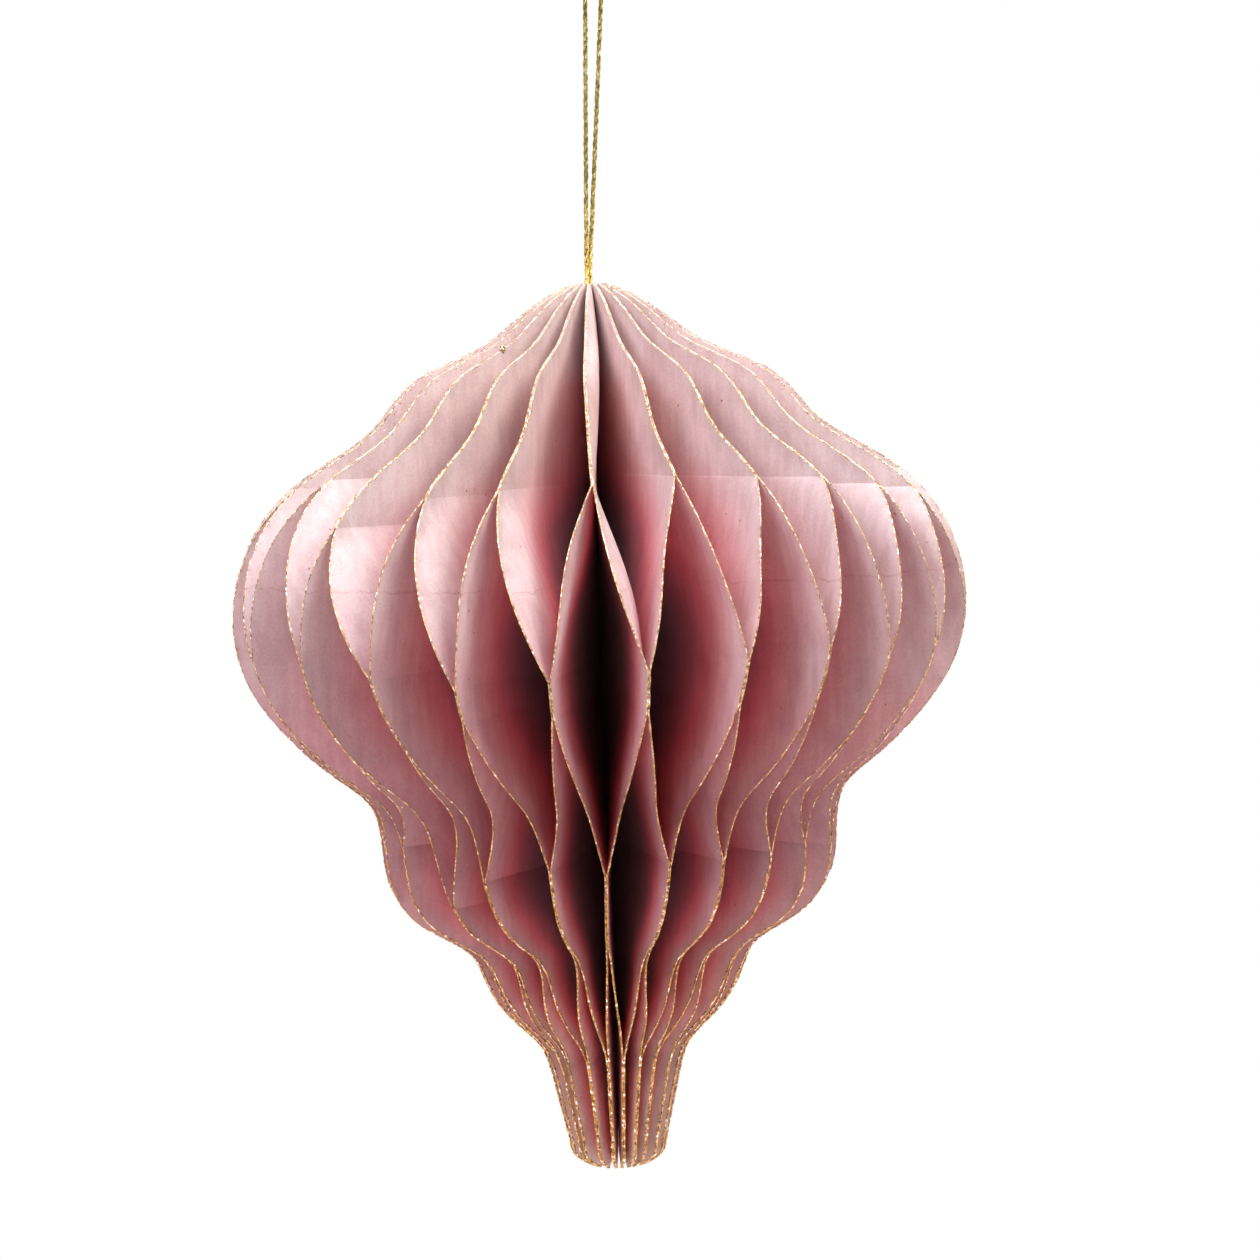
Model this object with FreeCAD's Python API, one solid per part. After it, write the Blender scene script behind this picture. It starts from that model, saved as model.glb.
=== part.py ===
"""Hanging paper drop ornament.

Forty-eight thin card leaves stand round an open core like the pages of a book opened right round.
Neighbouring leaves are glued together at their outer edges, and the glue changes sides on the way
down. So each leaf swings to and fro between the planes on its two sides, and the leaves open into
rings of pointed cells. A doubled thread rises out of the core and makes the hanging loop.

Millimetres. +Z is up and the front faces -Y. The origin is where a hook bears on the hanging loop.
Depths are measured down from the top of the leaves, and angles go round from the front towards +X.
"""

import FreeCAD, Part
from FreeCAD import Vector
from math import cos, exp, hypot, pi, radians, sin, tan
import os

# ---- driving dimensions -------------------------------------------------------------------------

LEAVES = 48                 # card leaves round the core
CARD = 0.22                 # thickness of one leaf
CORE_R = 2.05               # radius of the open core that the inner edges leave
HEIGHT = 150.6              # depth of the lowest point of a leaf
INNER_TOP = 0.4             # depth of a leaf's inner corner at the top
INNER_BOTTOM = 148.2        # and at the bottom

# The outer edge of a leaf, as (depth, radius): cap, shoulder, wide belly, two smaller bulges, tail.
OUTLINE = [
    (0.0, 3.0), (1.6, 6.6), (5.0, 11.9), (9.6, 17.9), (12.6, 24.1), (16.0, 30.7), (19.4, 34.1),
    (23.0, 37.0), (29.5, 46.3), (36.8, 55.4), (46.0, 60.6), (57.0, 62.2), (66.0, 60.0),
    (74.0, 54.7), (82.5, 45.7), (87.2, 40.6), (94.0, 38.9), (101.5, 37.8), (106.6, 34.4),
    (110.4, 28.6), (113.6, 24.3), (119.6, 21.4), (125.6, 16.9), (130.2, 12.6), (136.0, 10.7),
    (146.0, 8.4), (149.0, 7.4), (150.2, 6.0), (150.6, 4.6),
]

# Depths where the glue between two leaves ends or begins.
TOP_GLUE_END = 33.0         # even planes closed from the top to here
BELLY_GLUE = (61.7, 68.6)   # odd planes closed
WAIST_GLUE = (95.4, 111.8)  # even planes closed
TAIL_GLUE = 130.7           # odd planes closed from here to the bottom

# Glue by hand is never quite level or evenly spaced. These are the glue ends that stand out, by
# plane counted from the front: how much lower the end is, in millimetres, and how far round the
# plane is turned there, in degrees.
TOP_ENDS = {-8: (-1.5, -1), -6: (6, -1.5), -4: (1.5, 0), -2: (0.5, -1.5), 2: (-1, 0), 4: (-0.5, 0.5),
            8: (1.5, -1), 10: (2.5, -1)}
BELLY_BEGINS = {-7: (-1.5, 2), -5: (1, 1.5), -3: (2.5, 1), -1: (1.5, 0.5), 3: (-1, 0), 5: (-2.5, -1),
                7: (0, -3), 9: (0, -4)}
BELLY_ENDS = {-7: (9, 1.5), -5: (7, 2.5), -3: (1, 1), -1: (0.5, 0.5), 3: (-0.5, -0.5), 5: (0, -1.5),
              7: (6.5, -3.5), 9: (0, -4)}
WAIST_BEGINS = {-8: (-2.5, -1), -6: (7, 2), -4: (2, -1.5), -2: (0, 1), 0: (1, -0.5), 2: (-0.5, 0),
                4: (-0.5, -1), 6: (-1, -1.5), 8: (-1.5, -3)}
WAIST_ENDS = {-6: (0.5, 3.5), -4: (-1, 2), -2: (-2, 2.5), 0: (-3, -1), 2: (-2.5, -2.5), 4: (-1, -3.5),
              6: (-0.5, -5.5)}
TAIL_BEGINS = {-5: (1.5, -6), -3: (1, -0.5), -1: (0.5, 1.5), 1: (0, -1), 3: (0, -2), 5: (-1, -3.5)}

# A leaf's free stretch doesn't swing evenly from one plane to the next. A bow below zero makes it
# swing late, and a skew makes it swing fast at both ends.
UPPER_BOW_HIGHER, UPPER_BOW_LOWER = -0.11, 0.17     # top to belly, towards the higher or lower plane
UPPER_SKEW_LOWER = 0.07
LESS_BOWED = {-8: 0.02, 2: -0.01, 4: -0.05}         # the upper bow of the leaves that differ
MIDDLE_BOW = -0.13                                  # belly to waist
TAIL_BOW_HIGHER, TAIL_BOW_LOWER = -0.20, -0.14      # waist to tail

FRONT_PLANES = 11           # the planes beyond this one, at the back, wander without a pattern
WANDER = 0.7                # millimetres that their glue ends go up or down
RIGHT_LIFT = 1.1            # the leaves on the right sit this much higher at mid height
TAIL_LEAN = 0.55            # and below the belly all of them lean this far towards +X
LEAN_FROM, LEAN_TO = 68.0, 100.0
APEX_TURNS = {0: -3.5}      # degrees that a plane is turned at the very top
POINT_GAP = 2.0             # the points that shape an outer edge are about this far apart

# Above the belly the body of a leaf swings over on its own path, and bends to its edge only close to
# it. How close grows with the leaf's width: BEND_LEAST for a narrow leaf, one more for every
# BEND_REACH of width. The body's bow is like the edge's, for the leaves that swing to their higher
# plane and to their lower one, and BOW_DELAY keeps its start soft. Still deeper in, a leaf starts and
# ends its swing gently (1 would be from a standstill), and DEEP_BEND is how slowly it turns into that.
BEND_LEAST, BEND_REACH = 6.0, 2.6
BODY_BOW_HIGHER, BODY_BOW_LOWER = 0.42, -0.03
BOW_DELAY = 0.08
DEEP_EASE, DEEP_BEND = 0.8, 0.35
BULGES = {0: 3.0}           # how far the body of a leaf stands off its glued edge near the top
BULGE_HIGH = 0.7            # less than 1 puts the widest place of a bulge above the middle
# A leaf has its points at these shares of the way from the outer edge in to the core.
ACROSS = [0.0, 0.03, 0.06, 0.10, 0.15, 0.20, 0.26, 0.33, 0.42, 0.55, 0.75, 1.0]

# Thread and its loop. Points are (x, y, height above the leaves), with x from the leaves' axis.
THREAD_D = 0.8
LOOP_POINTS = [
    (-0.55, -0.38, -9.0), (-0.55, -0.38, 1.0), (-0.28, 0.00, 14.0), (0.81, 0.00, 56.0),
    (3.82, 0.00, 56.0), (0.90, 0.00, 14.0), (-0.12, 0.38, 1.0), (-0.12, 0.38, -9.0),
]
BEND_SHARE = 0.45           # share of the shorter run that a bend takes up
KNOT_GAP = 0.02             # the knot fills the core and is glued there
KNOT_HALF_HEIGHT = 2.2
KNOT_FLAT = 0.6             # share of the half height where its top is cut flat, above the middle
KNOT_TAIL = 3.0             # length of the two tails below it
KNOT_TAIL_SPREAD = 0.5      # and how far each stands from the middle
KNOT_TAIL_SINK = 0.8        # share of the half height where they begin, below the middle

# ---- worked out from them -----------------------------------------------------------------------

STEP = 360.0 / LEAVES                           # angle between one glue plane and the next
PITCH = 2 * CORE_R * sin(radians(STEP / 2))     # distance between leaves where they lie together
LOOP_TOP = LOOP_POINTS[3][2] - THREAD_D / 2     # the hook bears on the inside of the loop
AXIS_X = -(LOOP_POINTS[3][0] + LOOP_POINTS[4][0]) / 2
KNOT_R = CORE_R - KNOT_GAP


def place(x, y, height):
    """A point given from the top of the leaves' axis, in the frame of the hanging loop."""
    return Vector(AXIS_X + x, y, height - LOOP_TOP)


# ---- leaves -------------------------------------------------------------------------------------

def outline_curve():
    curve = Part.BSplineCurve()
    curve.interpolate([Vector(radius, 0, depth) for depth, radius in OUTLINE])
    return curve


EDGE = outline_curve()


def edge_radius(depth):
    """Radius of the leaf's outer edge at a depth, by halving the curve's parameter range."""
    low, high = EDGE.FirstParameter, EDGE.LastParameter
    for _ in range(40):
        middle = (low + high) / 2
        if EDGE.value(middle).z < depth:
            low = middle
        else:
            high = middle
    return EDGE.value((low + high) / 2).x


def plane_number(plane):
    """The same plane counted the short way round from the front: -23 to 24."""
    plane %= LEAVES
    return plane - LEAVES if plane > LEAVES / 2 else plane


def glue_end(depth, marks, plane, seed):
    """Depth and extra turn of one glue end."""
    back = abs(plane) > FRONT_PLANES
    drop, turn = marks.get(plane, (WANDER * sin(2.4 * plane + seed) if back else 0.0, 0.0))
    return depth + drop, turn


def stations(leaf):
    """Depth, place between the leaf's two planes (0 to 1) and extra turn, where glue ends or begins.

    Leaf 0 lies between planes 0 and 1. Even planes are glued at the top and the waist, odd planes
    at the belly and the tail.
    """
    even, odd = (leaf, leaf + 1) if leaf % 2 == 0 else (leaf + 1, leaf)
    at_even, at_odd = (0.0, 1.0) if leaf % 2 == 0 else (1.0, 0.0)
    e, o = plane_number(even), plane_number(odd)
    top, top_turn = glue_end(TOP_GLUE_END, TOP_ENDS, e, 0.0)
    tail, tail_turn = glue_end(TAIL_GLUE, TAIL_BEGINS, o, 3.0)
    marks = [(0.0, at_even, APEX_TURNS.get(e, top_turn)), (top, at_even, top_turn)]
    for depth, table, plane, seed, place_between in (
        (BELLY_GLUE[0], BELLY_BEGINS, o, 1.0, at_odd), (BELLY_GLUE[1], BELLY_ENDS, o, 1.0, at_odd),
        (WAIST_GLUE[0], WAIST_BEGINS, e, 2.0, at_even), (WAIST_GLUE[1], WAIST_ENDS, e, 2.0, at_even),
    ):
        end, turn = glue_end(depth, table, plane, seed)
        marks.append((end, place_between, turn))
    return marks + [(tail, at_odd, tail_turn), (HEIGHT, at_odd, tail_turn)]


def progress(leaf, share, zone, towards_higher):
    """How far a free stretch of edge has swung over, a share of the way down it.

    The card's curl bows every leaf the same way round above the belly. Below it each leaf leaves
    its neighbour slowly and meets the next one in a sharper point.
    """
    bow, skew = MIDDLE_BOW, 0.0
    if zone == 1 and towards_higher:
        bow = LESS_BOWED.get(plane_number(leaf), UPPER_BOW_HIGHER)
    elif zone == 1:
        bow, skew = UPPER_BOW_LOWER, UPPER_SKEW_LOWER
    elif zone == 5:
        bow = TAIL_BOW_HIGHER if towards_higher else TAIL_BOW_LOWER
    return share + bow * sin(pi * share) + skew * sin(2 * pi * share)


def lift(angle, depth):
    """How much higher the outline sits on the side towards +X."""
    return RIGHT_LIFT * max(0.0, sin(radians(angle))) * sin(pi * depth / HEIGHT)


def lean(depth):
    share = min(max((depth - LEAN_FROM) / (LEAN_TO - LEAN_FROM), 0.0), 1.0)
    return TAIL_LEAN * share * share * (3 - 2 * share)


def lateral(angle, radius, offset, depth):
    """A point at a radius and an angle, shifted sideways by an offset."""
    a = radians(angle)
    x = radius * sin(a) + offset * cos(a) + lean(depth)
    return place(x, -radius * cos(a) + offset * sin(a), -depth)


def swing_left(rate, share):
    """How much of a swing at the outer edge is left, a share of the way in to the core."""
    at_core = (1 + rate) * exp(-rate)
    return (1 + rate * share) * exp(-rate * share) - at_core * share * share * (3 - 2 * share)


def row(leaf, side, depth, paths, bulge):
    """Points across one side of a leaf, from its outer edge in to its own slot round the core.

    paths are the edge's, the body's and the deep part's place between the leaf's two planes and the
    angle where that is.
    """
    radius = edge_radius(min(depth + lift(paths[0][1], depth), HEIGHT))
    aside = side * CARD / 2
    edge, body, deep = (
        lateral(angle, radius, PITCH / 2 * (1 - 2 * w) + aside + off, depth)
        for (w, angle), off in zip(paths, (0.0, bulge, bulge))
    )
    down = INNER_TOP + (INNER_BOTTOM - INNER_TOP) * depth / HEIGHT
    core = lateral(STEP * (leaf + 0.5), CORE_R, aside, down)
    rate = hypot(BEND_LEAST, (radius - CORE_R) / BEND_REACH)
    return [
        deep + (core - deep) * share + (body - deep) * swing_left(rate * DEEP_BEND, share)
        + (edge - body) * swing_left(rate, share)
        for share in ACROSS
    ]


def rows(leaf, zone, side):
    """The shares of the way down a zone, from one station to the next, and a row of points at each."""
    marks = stations(leaf)
    (d0, w0, turn0), (d1, w1, turn1) = marks[zone], marks[zone + 1]
    spans = max(4, round((d1 - d0) / POINT_GAP))
    shares = [n / spans for n in range(spans + 1)]
    found = []
    for share in shares:
        edge = body = deep = share
        bulge = 0.0
        if w0 != w1:
            edge = body = progress(leaf, share, zone, w1 > w0)
            deep = share - DEEP_EASE * sin(2 * pi * share) / (2 * pi)
        if zone == 0:
            bulge = BULGES.get(plane_number(leaf), 0.0) * sin(pi * share ** BULGE_HIGH)
        elif zone == 1:
            bow = BODY_BOW_HIGHER if w1 > w0 else BODY_BOW_LOWER
            body = share + bow * sin(pi * share) * (1 - exp(-share / BOW_DELAY))
        paths = [
            (w0 + (w1 - w0) * done, STEP * (leaf + w0 + (w1 - w0) * done) + turn0 + (turn1 - turn0) * done)
            for done in (edge, body, deep)
        ]
        found.append(row(leaf, side, d0 + (d1 - d0) * share, paths, bulge))
    return shares, found


def curve_through(points, places):
    curve = Part.BSplineCurve()
    curve.interpolate(Points=points, Parameters=places)
    return curve


def straight_edge(a, b):
    return Part.LineSegment(a, b).toShape()


def leaf_side(leaf, zone, side):
    """One side of a leaf in a zone: its face and its outer, inner, upper and lower borders.

    A curve is drawn through each row, and then others down through those curves' poles.
    """
    shares, found = rows(leaf, zone, side)
    across = [curve_through(points, ACROSS) for points in found]
    poles = zip(*(curve.getPoles() for curve in across))
    down = [curve_through(list(line), shares) for line in poles]
    one_row, one_line = across[0], down[0]
    surface = Part.BSplineSurface()
    surface.buildFromPolesMultsKnots(
        [curve.getPoles() for curve in down], one_row.getMultiplicities(), one_line.getMultiplicities(),
        one_row.getKnots(), one_line.getKnots(), False, False, 3, 3
    )
    borders = (down[0], down[-1], across[0], across[-1])
    return surface.toShape(), [curve.toShape() for curve in borders]


def leaf_solid(leaf):
    """One leaf: two bent sides and two narrow rims in each zone, and a cap at each end."""
    faces = []
    last = len(stations(leaf)) - 2
    for zone in range(last + 1):
        one_face, one = leaf_side(leaf, zone, -1)
        other_face, other = leaf_side(leaf, zone, 1)
        rims = {0, 1} | ({2} if zone == 0 else set()) | ({3} if zone == last else set())
        faces += [one_face, other_face] + [Part.makeRuledSurface(one[n], other[n]) for n in sorted(rims)]
    shell = Part.makeShell(faces)
    shell.sewShape()
    solid = Part.makeSolid(shell)
    if solid.Volume < 0:
        solid.reverse()
    return solid


# ---- thread, loop and knot ----------------------------------------------------------------------

def rounded_path(points):
    """Straight runs joined by tangent arcs, each as large as its shorter run allows."""
    edges, radii = [], []
    start = points[0]
    for before, corner, after in zip(points, points[1:], points[2:]):
        into, out = corner - before, after - corner
        take = BEND_SHARE * min(into.Length, out.Length)
        turn = into.getAngle(out)
        radii.append(take / tan(turn / 2))
        a = corner - Vector(into).normalize() * take
        b = corner + Vector(out).normalize() * take
        bisector = (Vector(out).normalize() - Vector(into).normalize()).normalize()
        middle = corner + bisector * radii[-1] * (1 / cos(turn / 2) - 1)
        edges += [straight_edge(start, a), Part.Arc(a, middle, b).toShape()]
        start = b
    edges.append(straight_edge(start, points[-1]))
    return Part.Wire(edges), radii


def thread_solid():
    points = [place(*point) for point in LOOP_POINTS]
    path, radii = rounded_path(points)
    along = (points[1] - points[0]).normalize()
    section = Part.Wire(Part.Circle(points[0], along, THREAD_D / 2).toShape())
    tube = path.makePipeShell([section], True, True)
    wanted = pi * THREAD_D ** 2 / 4 * path.Length
    print("thread bends, mm:", [round(r, 2) for r in radii])
    print("thread length %.1f mm, volume %.3f, section x length %.3f"
          % (path.Length, tube.Volume, wanted))
    return tube


def knot_solid():
    """The overhand knot in the doubled thread, flat on top where the two strands enter it."""
    top = place(0, 0, LOOP_POINTS[0][2])
    ball = Part.makeSphere(1.0)
    stretch = FreeCAD.Matrix()
    stretch.scale(KNOT_R, KNOT_R, KNOT_HALF_HEIGHT)
    centre = top - Vector(0, 0, KNOT_HALF_HEIGHT * KNOT_FLAT)
    body = ball.transformGeometry(stretch)
    body.translate(centre)
    keep = Part.makeBox(4 * KNOT_R, 4 * KNOT_R, 4 * KNOT_R)
    keep.translate(Vector(top.x - 2 * KNOT_R, -2 * KNOT_R, top.z - 4 * KNOT_R))
    body = body.common(keep)
    bottom = centre - Vector(0, 0, KNOT_HALF_HEIGHT * KNOT_TAIL_SINK)
    for shift in (-1, 1):
        tail = Part.makeCylinder(
            THREAD_D / 2, KNOT_TAIL, bottom + Vector(KNOT_TAIL_SPREAD * shift, 0, 0), Vector(0, 0, -1)
        )
        body = body.fuse(tail)
    return body


# ---- files --------------------------------------------------------------------------------------

def main():
    os.makedirs("parts", exist_ok=True)
    nodes = {"leaf_%02d" % (leaf + 1): leaf_solid(leaf) for leaf in range(LEAVES)}
    nodes["hanging_thread"] = thread_solid()
    nodes["thread_knot"] = knot_solid()
    for name, shape in nodes.items():
        good = shape.isValid() and shape.isClosed() and len(shape.Solids) == 1
        if not good:
            print("CHECK", name, shape.ShapeType, shape.isValid(), shape.isClosed())
        shape.exportStep("parts/%s.step" % name)
    card = sum(shape.Volume for name, shape in nodes.items() if name.startswith("leaf"))
    print("leaves: %.1f cm3 of card, %.2f m2" % (card / 1e3, card / CARD / 1e6))


main()
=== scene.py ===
# %% [markdown]
# # Paper drop ornament
# A drop of dusty pink card leaves hangs on a loop of twisted gold thread, with gold glitter along
# the leaves' edges. The leaves come as a finished frame, each in its own place, so what is made
# here is what the eye meets: the card's finish, the glitter, the thread and the light.
# Lengths are in metres, +Z is up and the front looks along -Y.

# %% Load the frame
from math import cos, pi, radians, sin

import bpy
import numpy as np
from mathutils import Matrix, Vector
from mathutils.bvhtree import BVHTree


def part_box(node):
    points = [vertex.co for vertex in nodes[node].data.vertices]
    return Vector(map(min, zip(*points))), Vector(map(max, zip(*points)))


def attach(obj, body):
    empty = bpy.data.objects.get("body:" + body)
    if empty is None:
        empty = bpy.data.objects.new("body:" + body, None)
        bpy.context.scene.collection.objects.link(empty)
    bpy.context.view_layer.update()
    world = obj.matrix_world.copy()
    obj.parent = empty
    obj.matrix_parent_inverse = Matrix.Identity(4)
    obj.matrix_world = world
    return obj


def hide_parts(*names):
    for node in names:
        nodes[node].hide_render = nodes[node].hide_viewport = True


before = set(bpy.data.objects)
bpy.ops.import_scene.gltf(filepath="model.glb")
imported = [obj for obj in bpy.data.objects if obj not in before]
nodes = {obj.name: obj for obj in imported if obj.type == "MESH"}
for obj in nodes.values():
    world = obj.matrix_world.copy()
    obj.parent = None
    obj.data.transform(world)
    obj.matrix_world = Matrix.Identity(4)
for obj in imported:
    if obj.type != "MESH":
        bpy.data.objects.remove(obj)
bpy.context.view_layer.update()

MM = 0.001
leaves = [nodes[name] for name in sorted(nodes) if name.startswith("leaf_")]
print("leaves in the frame:", len(leaves))

# %% [markdown]
# ## Where things are
# The origin is the inside of the loop's top, where a hook bears. The leaves stand round an axis a
# little to its left, and start some way below it. Everything else is measured from those two.

# %% The leaves' axis and their top
AXIS_X = -2.315 * MM
LEAVES_TOP = -55.6 * MM


def place(x, y, height):
    """A point given in millimetres from the top of the leaves' axis."""
    return Vector((AXIS_X + x * MM, y * MM, LEAVES_TOP + height * MM))


# %% [markdown]
# ## The leaves' outer edges
# Two things follow the outer edge of each leaf: the painted shade that deepens the card's colour
# away from it, and the glitter that sits on it. No curve of that edge comes with the frame, but the
# leaf's own mesh holds it.
# The narrow rim is made of the faces that don't face sideways, so its two border lines are found
# by the direction of the faces beside them, and the edge runs midway between the two.

# %% Find the outer edges
SAME_POINT = 0.0005 * MM
NEAR_CORE = 2.6 * MM
SIDEWAYS = 0.7            # a face whose normal points sideways by more than this isn't on the rim
EDGE_STEP = 0.32 * MM


def evenly(line, step):
    """The same line with points a fixed step apart."""
    runs = np.linalg.norm(np.diff(line, axis=0), axis=1)
    at = np.concatenate([[0], np.cumsum(runs)])
    wanted = np.linspace(0, at[-1], max(2, int(round(at[-1] / step)) + 1))
    return np.stack([np.interp(wanted, at, line[:, axis]) for axis in range(3)], axis=1)


def only(piece):
    """Selects one object and nothing else."""
    bpy.ops.object.select_all(action="DESELECT")
    piece.select_set(True)
    bpy.context.view_layer.objects.active = piece


def merged_mesh(leaf):
    """A leaf's points, triangles and normals, once its loose triangles share their points."""
    copy = bpy.data.objects.new("copy", leaf.data.copy())
    bpy.context.collection.objects.link(copy)
    only(copy)
    bpy.ops.object.mode_set(mode="EDIT")
    bpy.ops.mesh.select_all(action="SELECT")
    bpy.ops.mesh.remove_doubles(threshold=SAME_POINT)
    bpy.ops.object.mode_set(mode="OBJECT")
    points = np.array([vertex.co for vertex in copy.data.vertices])
    corners = np.array([face.vertices for face in copy.data.polygons])
    normals = np.array([face.normal for face in copy.data.polygons])
    bpy.data.meshes.remove(copy.data)
    return points, corners, normals


def outer_edge(points, corners, normals):
    """Points down the middle of a leaf's outer rim."""
    middles = points[corners].mean(axis=1)
    sideways = np.stack([-middles[:, 1], middles[:, 0] - AXIS_X], axis=1)
    sideways /= np.linalg.norm(sideways, axis=1, keepdims=True)
    facing = (normals[:, :2] * sideways).sum(axis=1)
    rim = np.zeros(len(points), bool)
    rim[corners[np.abs(facing) < SIDEWAYS].ravel()] = True
    rim &= np.hypot(points[:, 0] - AXIS_X, points[:, 1]) > NEAR_CORE
    borders = []
    for sign in (-1, 1):
        own = np.zeros(len(points), bool)
        own[corners[sign * facing > SIDEWAYS].ravel()] = True
        line = points[rim & own]
        borders.append(line[np.argsort(-line[:, 2])])
    left = evenly(borders[0], EDGE_STEP)
    right = [np.interp(-left[:, 2], -borders[1][:, 2], borders[1][:, axis]) for axis in range(2)]
    return (left + np.column_stack([*right, left[:, 2]])) / 2


meshes = [merged_mesh(leaf) for leaf in leaves]
edges = [outer_edge(*mesh) for mesh in meshes]
print("outer edges: %.1f m of them" % (sum(len(line) for line in edges) * EDGE_STEP))

# %% [markdown]
# ## The camera
# A long lens, about two thirds of a metre away and slightly above the middle, keeps the leaves
# from looking swollen. A camera looks along its own -Z, so its matrix is built from the three
# directions that it should have: right, up and back. A small roll about the view's direction shows
# the drop at the slight tilt that a thing on a thread has.

# %% Place the camera
LENS = 108.584
DISTANCE = 648.47 * MM
AROUND, ABOVE, ROLL = radians(0.1754), radians(3.4042), radians(-1.6592)

forward = Vector((-sin(AROUND) * cos(ABOVE), cos(AROUND) * cos(ABOVE), -sin(ABOVE)))
level = Vector((cos(AROUND), sin(AROUND), 0))
upright = level.cross(forward)
right = cos(ROLL) * level + sin(ROLL) * upright
up = cos(ROLL) * upright - sin(ROLL) * level
target = Vector((AXIS_X, 0, -114.43 * MM)) + right * 5.073 * MM

camera = bpy.data.objects.new("camera", bpy.data.cameras.new("camera"))
bpy.context.collection.objects.link(camera)
camera.data.lens = LENS
camera.data.sensor_width = 36
camera.data.clip_start, camera.data.clip_end = 0.01, 20
turn = Matrix((right, up, -forward)).transposed().to_4x4()
camera.matrix_world = Matrix.Translation(target - forward * DISTANCE) @ turn
bpy.context.scene.camera = camera
print("camera at", [round(c, 3) for c in camera.matrix_world.translation])

# %% [markdown]
# ## Helpers for materials
# A material is a small tree of nodes. `new_material` starts one with an empty tree, `add` makes
# one node and sets what it needs in one line, and `join` is a wire between two of them. A Mix node
# keeps sockets for numbers, vectors and colours side by side, so its colour sockets are named here
# once.

# %% Helpers for shader nodes
COLOUR_A, COLOUR_B, COLOUR_OUT = 6, 7, 2


def new_material(name):
    """A material, and its tree with no nodes in it yet."""
    made = bpy.data.materials.new(name)
    made.use_nodes = True
    made.node_tree.nodes.clear()
    return made, made.node_tree


def add(tree, kind, values=None, **settings):
    """A new node, with its settings and the values of its sockets by name or number."""
    made = tree.nodes.new(kind)
    for name, value in settings.items():
        setattr(made, name, value)
    for socket, value in (values or {}).items():
        made.inputs[socket].default_value = value
    return made


def join(tree, source, output, reader, socket):
    """A wire from one node's output to a socket of another."""
    tree.links.new(source.outputs[output], reader.inputs[socket])


def ramp(tree, stops):
    """A colour ramp from (position, colour) pairs."""
    made = add(tree, "ShaderNodeValToRGB")
    steps = made.color_ramp.elements
    while len(steps) < len(stops):
        steps.new(0.5)
    for step, (position, colour) in zip(steps, stops):
        step.position = position
        step.color = (*colour, 1)
    return made


# %% [markdown]
# ## Light and background
# Folded paper shows its form by shade, so the light must come from somewhere and not from
# everywhere. Two large soft lamps stand high on either side, the right one a little stronger: each
# lights the leaves that face it and leaves the other side of every fold in shade, and the deep
# cells between go dark. A weaker lamp overhead softens the cap, and one behind lights the back
# leaves and shines through the card. What lies behind a cut-out product is white paper, so a ray
# from the camera, a mirror or glass that misses everything finds white, while the card finds only
# a weak light.

# %% The world
AROUND_LIGHT = 0.075
bpy.context.scene.view_settings.view_transform = "Standard"
world = bpy.data.worlds.new("studio")
bpy.context.scene.world = world
world.use_nodes = True
sky = world.node_tree
sky.nodes.clear()
ray = add(sky, "ShaderNodeLightPath")
seen = add(sky, "ShaderNodeMath", operation="ADD")
shown = add(sky, "ShaderNodeMath", operation="ADD", use_clamp=True)
around = add(sky, "ShaderNodeBackground", {"Color": (1, 1, 1, 1), "Strength": AROUND_LIGHT})
white = add(sky, "ShaderNodeBackground", {"Color": (1, 1, 1, 1), "Strength": 1})
choose = add(sky, "ShaderNodeMixShader")
out = add(sky, "ShaderNodeOutputWorld")
join(sky, ray, "Is Camera Ray", seen, 0)
join(sky, ray, "Is Glossy Ray", seen, 1)
join(sky, seen, 0, shown, 0)
join(sky, ray, "Is Transmission Ray", shown, 1)
join(sky, shown, 0, choose, 0)
join(sky, around, 0, choose, 1)
join(sky, white, 0, choose, 2)
join(sky, choose, 0, out, 0)

# %% The lamps
LAMP_AWAY, LAMP_SIZE = 1.25, 0.7
LAMPS = [
    ("right_lamp", 49, 43, 18.3, (1, 0.97, 0.93)),
    ("left_lamp", -40, 40, 15.3, (0.99, 0.92, 0.99)),
    ("top_lamp", 0, 75, 9, (1, 1, 1)),
    ("back_lamp", 180, 50, 14, (1, 1, 1)),
]
middle = place(0, 0, -70)


def lamp(name, sideways, height, watts, colour):
    """A square soft lamp that faces the leaves, some degrees round from the front and up."""
    round_by, up_by = radians(sideways), radians(height)
    light = bpy.data.lights.new(name, "AREA")
    light.size, light.energy, light.color = LAMP_SIZE, watts, colour
    made = bpy.data.objects.new(name, light)
    bpy.context.collection.objects.link(made)
    towards = Vector((sin(round_by) * cos(up_by), -cos(round_by) * cos(up_by), sin(up_by)))
    made.location = middle + towards * LAMP_AWAY
    made.rotation_euler = towards.to_track_quat("Z", "Y").to_euler()


for settings in LAMPS:
    lamp(*settings)
print("lamps:", len(LAMPS))

# %% [markdown]
# ## The floor
# The ornament hangs well clear of the ground. A pale disc below it takes its shadow and throws
# some light back up into the leaves. Towards its rim the disc turns into the same white as the
# background for the eye, so that it has no visible edge.

# %% The floor
FLOOR_Z = -0.40
FLOOR_R, FLOOR_SIDES = 0.6, 96
FLOOR_GREY = (0.86, 0.86, 0.86, 1)
FADE_FROM, FADE_TO = 0.25, 0.55
bpy.ops.mesh.primitive_circle_add(
    vertices=FLOOR_SIDES, radius=FLOOR_R, fill_type="NGON", location=(AXIS_X, 0, FLOOR_Z))
floor = bpy.context.active_object
floor.name = "floor"
bpy.ops.object.transform_apply(location=True)

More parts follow.
